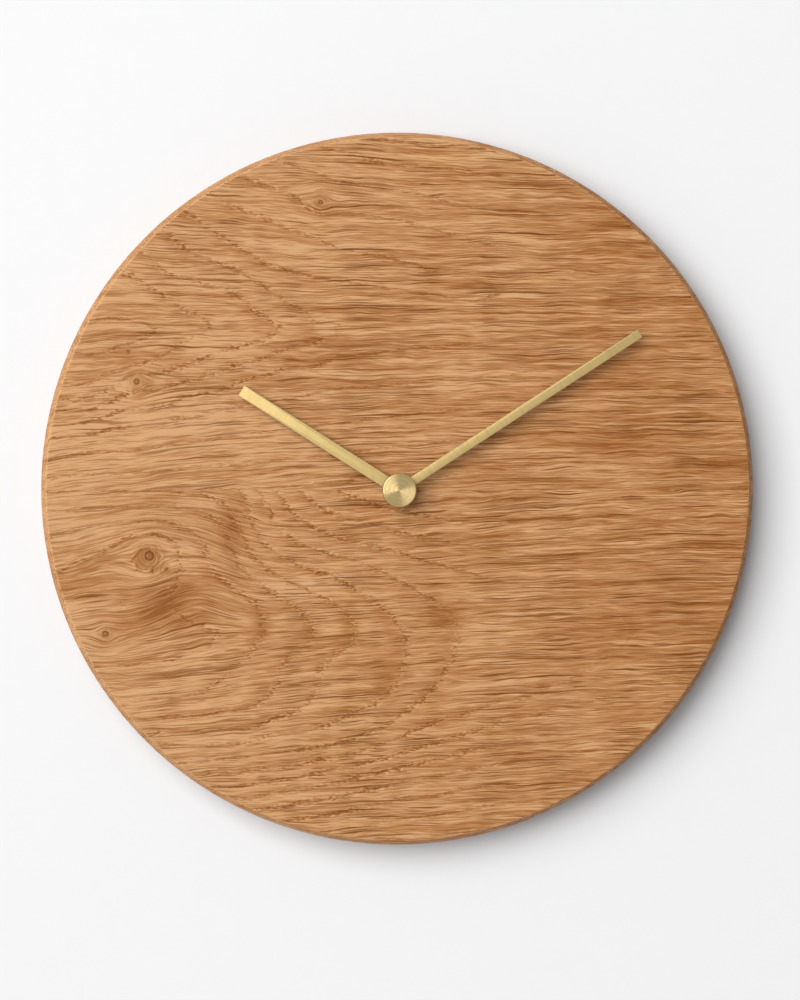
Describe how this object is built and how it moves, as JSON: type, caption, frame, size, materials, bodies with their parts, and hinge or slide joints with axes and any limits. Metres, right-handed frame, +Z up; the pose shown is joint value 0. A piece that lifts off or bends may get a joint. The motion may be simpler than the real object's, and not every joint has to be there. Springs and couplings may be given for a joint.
{
  "type": "wall clock",
  "caption": "Round oak wall clock: flat chamfered dial, straight brass hour and minute hands under a turned brass cap, and a battery quartz movement sunk in the back.",
  "frame": {"origin": "on the wall plane at the axis of the wall screw, in the top end of the keyhole slot behind the upper board; the hand axis is 100 mm below it", "axes": "+X to the right seen from the front, +Y into the wall, +Z up; the dial faces -Y and the hands turn clockwise by the right-hand rule about +Y"},
  "size_m": [0.3, 0.0306, 0.3],
  "materials": {
    "oak": "honey-coloured oak, matt oiled, grain across the dial",
    "brass": "pale brass, brushed across the hands, turned on the cap",
    "plated": "plain machined brass",
    "steel": "bright nickel-plated sheet",
    "iron": "grey annealed iron sheet",
    "black_plastic": "black moulded, fine spark texture",
    "white_plastic": "natural white acetal",
    "rubber": "black, matt",
    "copper": "enamelled copper wire",
    "magnet": "dark sintered magnet",
    "laminate": "green circuit laminate",
    "cell": "plain blue-grey film sleeve, unprinted"
  },
  "bodies": {
    "case": {"oak_board_upper": "oak", "oak_board_lower": "oak", "rubber_gasket": "rubber", "front_washer": "plated", "hex_nut": "plated", "threaded_bush": "plated", "front_housing": "black_plastic", "rear_housing": "black_plastic", "train_plate": "white_plastic", "stator": "iron", "coil_core": "iron", "coil_bobbin": "white_plastic", "coil_winding": "copper", "circuit_board": "laminate", "chip": "black_plastic", "quartz_crystal": "steel", "positive_contact": "steel", "negative_contact": "steel"},
    "minute_train": {"minute_hand": "brass", "hand_cap": "brass", "minute_shaft": "plated", "clutch_spring": "steel", "centre_wheel": "white_plastic"},
    "hour_train": {"hour_hand": "brass", "hour_wheel": "plated"},
    "motion_wheel": {"minute_wheel": "white_plastic"},
    "third_train": {"third_wheel": "white_plastic"},
    "second_train": {"second_wheel": "white_plastic"},
    "step_train": {"step_wheel": "white_plastic"},
    "rotor": {"rotor_pinion": "white_plastic", "rotor_magnet": "magnet"},
    "setting": {"setting_knob": "black_plastic", "setting_shaft": "white_plastic"},
    "battery": {"battery_cell": "cell"}
  },
  "joints": [
    {"name": "minute_turn", "type": "hinge", "parent": "case", "child": "minute_train", "pos_m": [0, -0.01, -0.1], "axis": [0, 1, 0], "continuous": true},
    {"name": "hour_turn", "type": "hinge", "parent": "case", "child": "hour_train", "pos_m": [0, -0.01, -0.1], "axis": [0, 1, 0], "continuous": true},
    {"name": "motion_turn", "type": "hinge", "parent": "case", "child": "motion_wheel", "pos_m": [-0.00342, -0.012, -0.0906], "axis": [0, 1, 0], "continuous": true},
    {"name": "setting_turn", "type": "hinge", "parent": "case", "child": "setting", "pos_m": [-0.00168, -0.005, -0.08075], "axis": [0, 1, 0], "continuous": true},
    {"name": "third_turn", "type": "hinge", "parent": "case", "child": "third_train", "pos_m": [0.0054, -0.008, -0.09065], "axis": [0, 1, 0], "continuous": true},
    {"name": "second_turn", "type": "hinge", "parent": "case", "child": "second_train", "pos_m": [0, -0.006, -0.1], "axis": [0, 1, 0], "continuous": true},
    {"name": "step_turn", "type": "hinge", "parent": "case", "child": "step_train", "pos_m": [-0.01064, -0.005, -0.09812], "axis": [0, 1, 0], "continuous": true},
    {"name": "rotor_turn", "type": "hinge", "parent": "case", "child": "rotor", "pos_m": [-0.01472, -0.005, -0.09044], "axis": [0, 1, 0], "continuous": true},
    {"name": "battery_lift", "type": "slide", "parent": "case", "child": "battery", "axis": [0, 1, 0], "range_m": [0, 0.04]}
  ],
  "couplings": [
    {"joint": "hour_turn", "follows": "minute_turn", "ratio": 0.083333},
    {"joint": "motion_turn", "follows": "minute_turn", "ratio": -0.33333},
    {"joint": "setting_turn", "follows": "minute_turn", "ratio": 1},
    {"joint": "third_turn", "follows": "minute_turn", "ratio": -8},
    {"joint": "second_turn", "follows": "minute_turn", "ratio": 60},
    {"joint": "step_turn", "follows": "minute_turn", "ratio": -300},
    {"joint": "rotor_turn", "follows": "minute_turn", "ratio": 1800}
  ]
}
